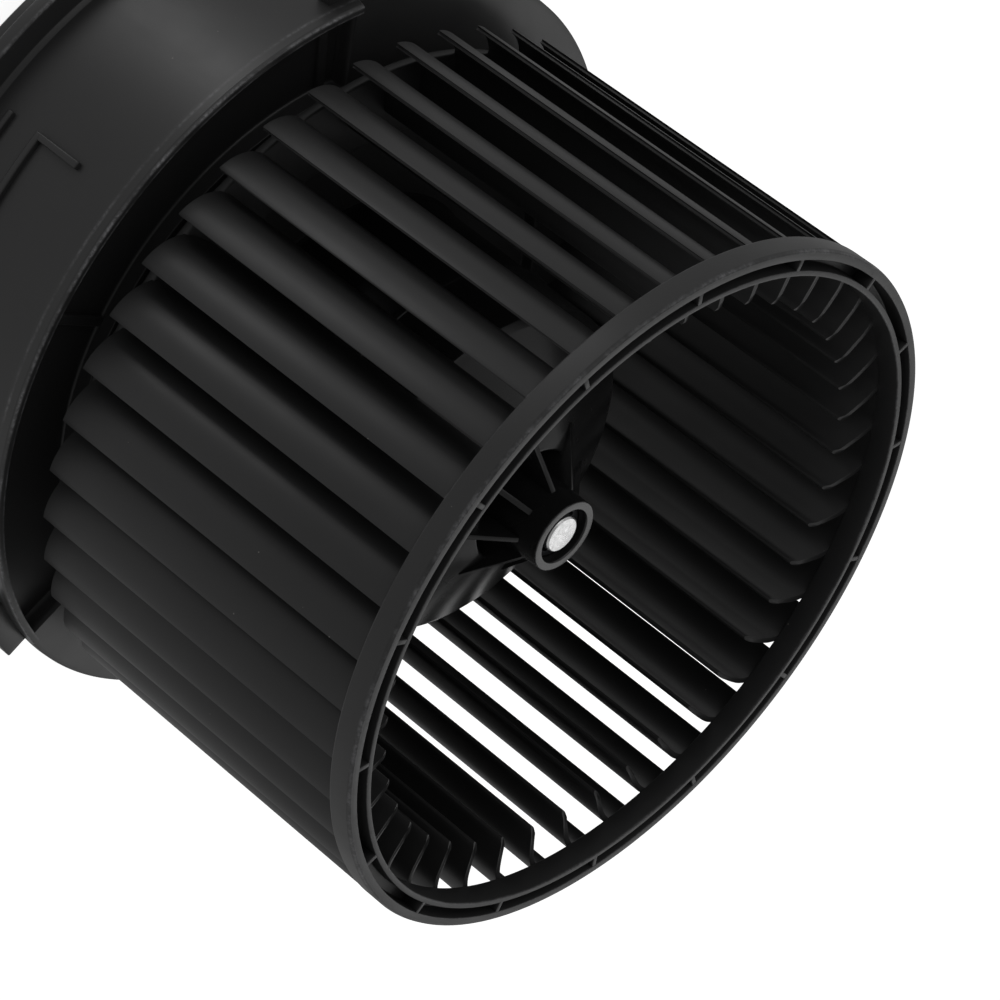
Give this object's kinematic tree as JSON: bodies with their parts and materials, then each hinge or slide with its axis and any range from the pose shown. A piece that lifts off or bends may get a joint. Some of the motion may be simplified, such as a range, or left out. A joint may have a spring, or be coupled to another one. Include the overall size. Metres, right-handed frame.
{
  "type": "blower motor wheel",
  "caption": "Forward-curved squirrel-cage blower wheel with a domed hub on an enclosed motor in a round, flanged plastic mounting base.",
  "frame": {"origin": "centre of the flat rear face that the unit stands on, on the shaft's axis", "axes": "+Z along the shaft from the rear face to the wheel's open mouth; the base's recessed sector is centred near +Y and the electrical socket lies towards -Y"},
  "size_m": [0.1748, 0.1748, 0.14],
  "materials": {
    "wheel_plastic": "satin black glass-filled plastic",
    "base_plastic": "satin black plastic",
    "spring_steel": "bright machined",
    "core_steel": "laminated, dull",
    "copper": "enamelled copper",
    "white_nylon": "natural",
    "zinc_steel": "zinc plated",
    "bronze": "sintered, oiled",
    "ferrite": "ground ferrite",
    "phenolic_board": "moulded phenolic",
    "brass": "pressed sheet",
    "carbon": "sintered carbon",
    "rubber": "matt",
    "connector_plastic": "natural",
    "wire_red": "insulated wire",
    "wire_black": "insulated wire",
    "screw_zinc": "zinc plated"
  },
  "bodies": {
    "housing": {"magnet_spring_1": "spring_steel", "magnet_spring_2": "spring_steel", "brush_spring_1": "spring_steel", "brush_spring_2": "spring_steel", "front_bearing_retainer": "spring_steel", "rear_bearing_retainer": "spring_steel", "choke_1": "copper", "choke_2": "copper", "thrust_pad": "white_nylon", "motor_can": "zinc_steel", "end_cap": "zinc_steel", "front_bearing": "bronze", "rear_bearing": "bronze", "magnet_1": "ferrite", "magnet_2": "ferrite", "brush_plate": "phenolic_board", "brush_holder_1": "brass", "brush_holder_2": "brass", "terminal_positive": "brass", "terminal_negative": "brass", "front_isolation_ring": "rubber", "rear_isolation_ring": "rubber", "mounting_base": "base_plastic", "rear_cover": "base_plastic", "connector_housing": "connector_plastic", "lead_positive": "wire_red", "lead_negative": "wire_black", "motor_screw_1": "screw_zinc", "motor_screw_2": "screw_zinc", "motor_screw_3": "screw_zinc", "cover_screw_1": "screw_zinc", "cover_screw_2": "screw_zinc", "cover_screw_3": "screw_zinc", "cover_screw_4": "screw_zinc", "cover_screw_5": "screw_zinc", "cover_screw_6": "screw_zinc"},
    "rotor": {"blower_wheel": "wheel_plastic", "motor_shaft": "spring_steel", "wheel_retaining_clip": "spring_steel", "armature_core": "core_steel", "armature_windings": "copper", "commutator": "copper", "front_thrust_washer": "white_nylon", "rear_thrust_washer": "white_nylon"},
    "brush_1": {"carbon_brush_1": "carbon"},
    "brush_2": {"carbon_brush_2": "carbon"}
  },
  "joints": [
    {"name": "wheel_spin", "type": "hinge", "parent": "housing", "child": "rotor", "pos_m": [0, 0, 0.09], "axis": [0, 0, 1], "continuous": true},
    {"name": "brush_1_slide", "type": "slide", "parent": "housing", "child": "brush_1", "axis": [1, 0, 0], "range_m": [0, 0.003], "stiffness_N_per_m": 80, "springref_m": -0.012, "deforming": ["brush_spring_1"]},
    {"name": "brush_2_slide", "type": "slide", "parent": "housing", "child": "brush_2", "axis": [-1, 0, 0], "range_m": [0, 0.003], "stiffness_N_per_m": 80, "springref_m": -0.012, "deforming": ["brush_spring_2"]}
  ]
}
